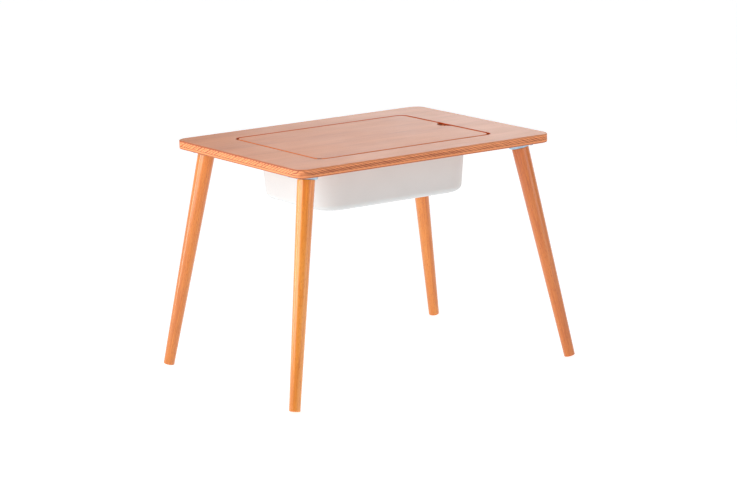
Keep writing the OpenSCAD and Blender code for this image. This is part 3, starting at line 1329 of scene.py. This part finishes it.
@dataclass
class TurnedLegs:
    """Four tapered legs, turned from solid beech and bored for their bolts.

    Each is cut from its own place in the timber, so its grain is turned and shifted.
    """

    stance: LegStance
    top_radius: float = 18 * MM
    foot_radius: float = 11.6 * MM
    foot_ease: float = 1.4 * MM
    foot_steps: int = 6
    top_ease: float = 1 * MM
    top_steps: int = 4
    bore_radius: float = 4.05 * MM
    bore_depth: float = 30.05 * MM
    points: int = 64
    crisp: float = 40.0
    grain_turn: float = 1.9
    grain_shift: Triple = (0.004, 0.006, 1.7)
    # Painted light and shade for each leg by corner: the front left leg is lit paler, the others are
    # shaded darker, the back legs most
    painted_light_tones: tuple[Colour, ...] = (
        (1.06, 1.17, 1.25),
        (0.84, 0.73, 0.67),
        (0.83, 0.84, 0.78),
        (0.94, 0.95, 0.98),
    )

    def build(self) -> dict[Corner, Piece]:
        """Models one leg along its axis, and copies it to the corners.

        Returns:
            The leg at each corner.
        """
        # The foot is square to the axis, and the lowest point of its rim is on the floor
        lean = self.stance.splay
        rim = self.foot_radius - self.foot_ease
        lift = self.foot_ease + rim * math.sin(lean) - self.foot_ease * math.cos(lean)
        foot = -(self.stance.underside - lift) / math.cos(lean)
        top = self.stance.seat
        neck = self.top_radius - self.top_ease
        loft = Loft("leg_pattern", self.points)
        loft.circle(self.foot_radius / 2, foot)
        loft.circles(arc(rim, foot + self.foot_ease, self.foot_ease, -90, 0, self.foot_steps))
        loft.circles(arc(neck, top - self.top_ease, self.top_ease, 0, 90, self.top_steps))
        loft.circle(self.bore_radius, top)
        loft.circle(self.bore_radius, top - self.bore_depth)
        loft.skin()
        pattern = loft.finish()
        Bench.smooth(pattern, self.crisp)
        legs: dict[Corner, Piece] = {}
        for number, corner in enumerate(Corner):
            self.mark_grain_and_light(pattern, number)
            name = f"turned_leg_{corner.label}"
            legs[corner] = Bench.copy(pattern, name, self.stance.leaning(corner))
        Bench.remove(pattern)
        return legs

    def mark_grain_and_light(self, leg: Piece, number: int) -> None:
        """Stores where each point lay in the timber, and the leg's painted light tone.

        Args:
            leg: The leg, still along the Z axis.
            number: The leg's number.
        """
        attributes = leg.data.attributes
        for name in (GRAIN_PLACE, PAINTED_LEG_LIGHT):
            if name not in attributes:
                attributes.new(name, "FLOAT_VECTOR", "POINT")
        turn = Matrix.Rotation(self.grain_turn * number, 3, "Z")
        shift = Vector([step * number for step in self.grain_shift])
        painted_light_tones = attributes[PAINTED_LEG_LIGHT].data
        for i, place in enumerate(attributes[GRAIN_PLACE].data):
            place.vector = turn @ leg.data.vertices[i].co + shift
            painted_light_tones[i].vector = self.painted_light_tones[number]

    def dress(self, legs: dict[Corner, Piece]) -> None:
        """Gives the legs their beech and puts them on the table."""
        fit_corners(legs, TurnedBeechFinish().material(), "leg")


@dataclass
class LegPlates:
    """Square plates pressed from sheet, each with a leaning boss that seats a leg."""

    stance: LegStance
    side: float = 64 * MM
    corner: float = 8 * MM
    sheet: float = 2 * MM
    seat_radius: float = 18.5 * MM
    shoulder: float = 5 * MM
    shoulder_steps: int = 8
    flare: float = 1.5 * MM
    reach: float = 30 * MM
    bolt_hole: float = 4.2 * MM
    screw_hole: float = 2.3 * MM
    screw_hole_points: int = 32
    screw_reach: float = 25 * MM
    outer_root_ease: float = 1.6 * MM
    inner_root_ease: float = 1.0 * MM
    edge_ease: float = 0.45 * MM
    edge_steps: int = 2
    points: int = 96
    crisp: float = 40.0

    def wall_ring(self, inset: float, level: float) -> Triple:
        """Finds where the boss's flared wall meets a level plane.

        Args:
            inset: How far the wall is drawn in, 0 outside and the sheet's thickness inside.
            level: Height of the plane from the underside.

        Returns:
            Half the oval's width across the lean, its stretch along the lean, and its
            shift along the lean.
        """
        low = self.stance.seat + self.shoulder
        high = self.reach - self.stance.seat_drop
        foot = self.seat_radius + self.shoulder - inset
        slope = self.flare / (high - low)
        sine, cosine = math.sin(self.stance.splay), math.cos(self.stance.splay)
        ends = []
        for side in (1.0, -1.0):
            # A point at a radius on one side, and at a rise along the axis, lies at
            # x = side * radius * cosine - rise * sine, z = side * radius * sine + rise * cosine
            rise = (level - side * (foot - slope * low) * sine) / (cosine + side * slope * sine)
            radius = foot + slope * (rise - low)
            ends.append(side * radius * cosine - rise * sine)
        shift = (ends[0] + ends[1]) / 2
        half = (ends[0] - ends[1]) / 2
        across = foot + slope * (level / cosine - low)
        return across, half / across, shift

    def build(self) -> dict[Corner, Piece]:
        """Models one plate under the origin, and copies it to the corners.

        Returns:
            The plate at each corner.
        """
        seat, lean = self.stance.seat, self.stance.splay
        centre = (self.seat_radius, seat + self.shoulder)
        loft = Loft("plate_pattern", self.points)
        flange = (self.side, self.side, self.corner)
        upper = loft.rectangle(*flange, 0.0)
        lower = loft.rectangle(*flange, -self.sheet)
        across, stretch, shift = self.wall_ring(0.0, -self.sheet)
        outer_root = loft.circle(across, -self.sheet, 0.0, stretch, shift)
        loft.circles(arc(*centre, self.shoulder, 0, -90, self.shoulder_steps), lean)
        loft.circle(self.bolt_hole, seat, lean)
        loft.circle(self.bolt_hole, seat + self.sheet, lean)
        loft.circles(arc(*centre, self.shoulder - self.sheet, -90, 0, self.shoulder_steps), lean)
        across, stretch, shift = self.wall_ring(self.sheet, 0.0)
        inner_root = loft.circle(across, 0.0, 0.0, stretch, shift)
        loft.skin(closed=True)
        loft.ease(outer_root, self.outer_root_ease)
        loft.ease(inner_root, self.inner_root_ease)
        for outline in (upper, lower):
            loft.ease(outline, self.edge_ease, self.edge_steps)
        pattern = loft.finish()
        for x, y in ((-1, -1), (-1, 1), (1, -1), (1, 1)):
            place = (x * self.screw_reach, y * self.screw_reach, -self.sheet / 2)
            Bench.drill(pattern, self.screw_hole, 4 * self.sheet, place, self.screw_hole_points)
        Bench.close(pattern)
        Bench.smooth(pattern, self.crisp)
        plates = {
            corner: Bench.copy(pattern, f"pressed_plate_{corner.label}", self.stance.level(corner))
            for corner in Corner
        }
        Bench.remove(pattern)
        return plates


@dataclass
class PanScrews:
    """Four pan-head wood screws with cross recesses in every plate.

    The head's outline is given in shares of its radius and height, from its middle out,
    and the thread's crest and run-out in shares of its pitch.
    """

    stance: LegStance
    reach: float = 25 * MM
    sheet: float = 2 * MM
    head_radius: float = 3.8 * MM
    head_height: float = 2.6 * MM
    head_outline: tuple[tuple[float, float], ...] = (
        (0.25, 1.0),
        (0.52, 0.98),
        (0.74, 0.88),
        (0.9, 0.68),
        (0.985, 0.40),
        (1.0, 0.22),
        (0.96, 0.0),
    )
    shank_radius: float = 2 * MM
    neck_share: float = 0.95
    core_radius: float = 1.35 * MM
    length: float = 15 * MM
    pitch: float = 1.8 * MM
    crest: tuple[float, float] = (0.42, 0.50)
    run_out: float = 0.92
    thread_start: float = 1.2 * MM
    tip: float = 3 * MM
    point_share: float = 0.12
    recess_width: float = 0.9 * MM
    recess_length: float = 4.2 * MM
    recess_depth: float = 1.5 * MM
    turn: float = 0.7
    points: int = 32
    crisp: float = 40.0

    def one(self) -> Piece:
        """Models a screw that points up, with its head's seat at the origin.

        Returns:
            The screw.
        """
        loft = Loft("screw_pattern", self.points)
        head = self.head_height
        loft.circles((self.head_radius * share, -head * drop) for share, drop in self.head_outline)
        loft.circle(self.shank_radius * self.neck_share, 0.0)
        start = self.thread_start
        turns = int((self.length - self.tip - start) / self.pitch)
        for turn in range(turns + 1):
            level = start + turn * self.pitch
            loft.circle(self.core_radius, level)
            loft.circles((self.shank_radius, level + share * self.pitch) for share in self.crest)
        loft.circle(self.core_radius, start + (turns + self.run_out) * self.pitch)
        loft.circle(self.core_radius * self.point_share, self.length)
        loft.skin()
        screw = loft.finish()
        long, short = self.recess_length, self.recess_width
        for along, across in ((long, short), (short, long)):
            bpy.ops.mesh.primitive_cube_add(size=1.0, location=(0.0, 0.0, -head))
            slot = bpy.context.object
            slot.scale = (along, across, 2 * self.recess_depth)
            Bench.apply_place(slot)
            Bench.cut(screw, slot)
        Bench.close(screw)
        Bench.smooth(screw, self.crisp)
        return screw

    def build(self) -> dict[Corner, Piece]:
        """Copies the screw to the holes of every plate.

        Returns:
            The four screws at each corner, as one piece.
        """
        pattern = self.one()
        groups: dict[Corner, Piece] = {}
        for corner in Corner:
            screws = []
            for number, (x, y) in enumerate(((-1, -1), (1, -1), (1, 1), (-1, 1))):
                place = Matrix.Translation((x * self.reach, y * self.reach, -self.sheet))
                driven = Matrix.Rotation(self.turn * number + sum(corner.value), 4, "Z")
                name = f"pan_screws_{corner.label}" if number == 0 else f"screw_{number}"
                screws.append(Bench.copy(pattern, name, self.stance.level(corner) @ place @ driven))
            Bench.pick(*screws)
            bpy.ops.object.join()
            groups[corner] = screws[0]
        Bench.remove(pattern)
        return groups


@dataclass
class BoltsAndNuts:
    """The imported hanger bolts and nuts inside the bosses, which keep their own meshes."""

    parts: tuple[str, ...] = ("hanger_bolt", "plate_nut")

    def dress(self, zinc: Material) -> None:
        """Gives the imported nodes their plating.

        Args:
            zinc: The plating's material.
        """
        for part in self.parts:
            for corner in Corner:
                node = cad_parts[f"{part}_{corner.label}"]
                slots = node.material_slots
                for slot in slots:
                    slot.link = "OBJECT"
                    slot.material = zinc
                LOG.info("%s: packed mesh kept, %d material slots", node.name, len(slots))


# ---- Studio ----


@dataclass(frozen=True)
class CameraView:
    """The camera, standing off the table's front left corner and a little above it."""

    place: Triple = (-3.18672, -4.75776, 1.47936)
    heading: float = math.radians(33.87)
    pitch: float = math.radians(12.27)
    roll: float = math.radians(-1.62)
    lens: float = 136.8
    sensor: float = 36.0

    def build(self) -> None:
        """Makes the camera and sets it as the scene's."""
        data = bpy.data.cameras.new("camera")
        data.lens = self.lens
        data.sensor_width = self.sensor
        camera = bpy.data.objects.new("camera", data)
        bpy.context.scene.collection.objects.link(camera)
        east, north = math.sin(self.heading), math.cos(self.heading)
        level, drop = math.cos(self.pitch), math.sin(self.pitch)
        ahead = Vector((east * level, north * level, -drop))
        right = Vector((north, -east, 0.0))
        up = right.cross(ahead)
        side = math.cos(self.roll) * right + math.sin(self.roll) * up
        top = -math.sin(self.roll) * right + math.cos(self.roll) * up
        turn = Matrix((side, top, -ahead)).transposed()
        camera.matrix_world = Matrix.Translation(self.place) @ turn.to_4x4()
        bpy.context.scene.camera = camera


@dataclass(frozen=True)
class SoftBox:
    """An oblong studio light that points at the table."""

    name: str
    place: Triple
    size: tuple[float, float]
    watts: float
    aim: Triple = (0.0, 0.0, 0.30)

    def build(self) -> None:
        """Makes the light."""
        data = bpy.data.lights.new(self.name, "AREA")
        data.shape = "RECTANGLE"
        data.size, data.size_y = self.size
        data.energy = self.watts
        lamp = bpy.data.objects.new(self.name, data)
        bpy.context.scene.collection.objects.link(lamp)
        lamp.location = self.place
        aim = Vector(self.aim) - Vector(self.place)
        lamp.rotation_euler = aim.to_track_quat("-Z", "Y").to_euler()
        lamp.visible_camera = False


@dataclass
class Studio:
    """Pale floor, white surroundings and soft lights."""

    floor_size: float = 60.0
    surround: float = 0.31
    window: float = 1.75
    window_towards: Triple = (0.82, 0.47, 0.33)
    window_edge: float = math.radians(32.0)
    window_middle: float = math.radians(22.0)
    backdrop: float = 1.06
    lights: tuple[SoftBox, ...] = (
        SoftBox("key_light", place=(-1.47, -0.08, 0.84), size=(0.9, 1.3), watts=13.0),
        SoftBox("rim_light", (-1.30, 0.60, 0.42), (0.25, 0.7), 3.5, aim=(-0.25, -0.2, 0.30)),
        SoftBox("fill_light", place=(0.9, -2.1, 0.70), size=(1.3, 1.4), watts=6.5),
        SoftBox("back_light", place=(1.50, 1.99, 0.80), size=(1.0, 0.5), watts=2.3),
    )

    def build_floor(self) -> None:
        """Lays the floor under the feet."""
        floor = Bench.plane("floor", self.floor_size)
        dress(floor, FloorFinish().material())

    def build_surround(self) -> None:
        """Makes the white surroundings, with a broad soft window behind the table's right end."""
        world = bpy.data.worlds.new("studio")
        bpy.context.scene.world = world
        world.use_nodes = True
        sky = Nodes(world.node_tree)
        direction = sky.node("ShaderNodeTexCoord").outputs["Generated"]
        towards = tuple(Vector(self.window_towards).normalized())
        facing = sky.node("ShaderNodeVectorMath", direction, towards, operation="DOT_PRODUCT")
        edge, middle = math.cos(self.window_edge), math.cos(self.window_middle)
        bright = self.surround + self.window
        window = sky.fade(facing.outputs["Value"], edge, middle, self.surround, bright)
        seen = sky.node("ShaderNodeLightPath").outputs["Is Camera Ray"]
        background = world.node_tree.nodes["Background"].inputs
        sky.put(background["Color"], WHITE)
        sky.put(background["Strength"], sky.pick(seen, window, self.backdrop))

    def build(self) -> None:
        """Builds the floor, the surroundings, the lights and the camera."""
        self.build_floor()
        self.build_surround()
        for light in self.lights:
            light.build()
        CameraView().build()
        bpy.context.scene.view_settings.view_transform = "Standard"


# ---- The whole table ----


def main() -> None:
    """Builds and dresses the table, and sets up the studio."""
    logging.basicConfig(level=logging.INFO, format="%(name)s: %(message)s")
    stance = LegStance()
    top, lid, storage = TableTop(), LiftOutLid(), StorageBin()
    legs, plates, screws = TurnedLegs(stance), LegPlates(stance), PanScrews(stance)
    zinc = ZincFinish("plate_zinc").material()
    bright_zinc = ZincFinish("fastener_zinc", roughness=0.28).material()
    top.dress(top.build())
    lid.dress(lid.build())
    storage.dress(storage.build())
    legs.dress(legs.build())
    fit_corners(plates.build(), zinc, "leg_plate")
    fit_corners(screws.build(), bright_zinc, "plate_screws")
    BoltsAndNuts().dress(bright_zinc)
    Studio().build()


if __name__ == "__main__":
    main()
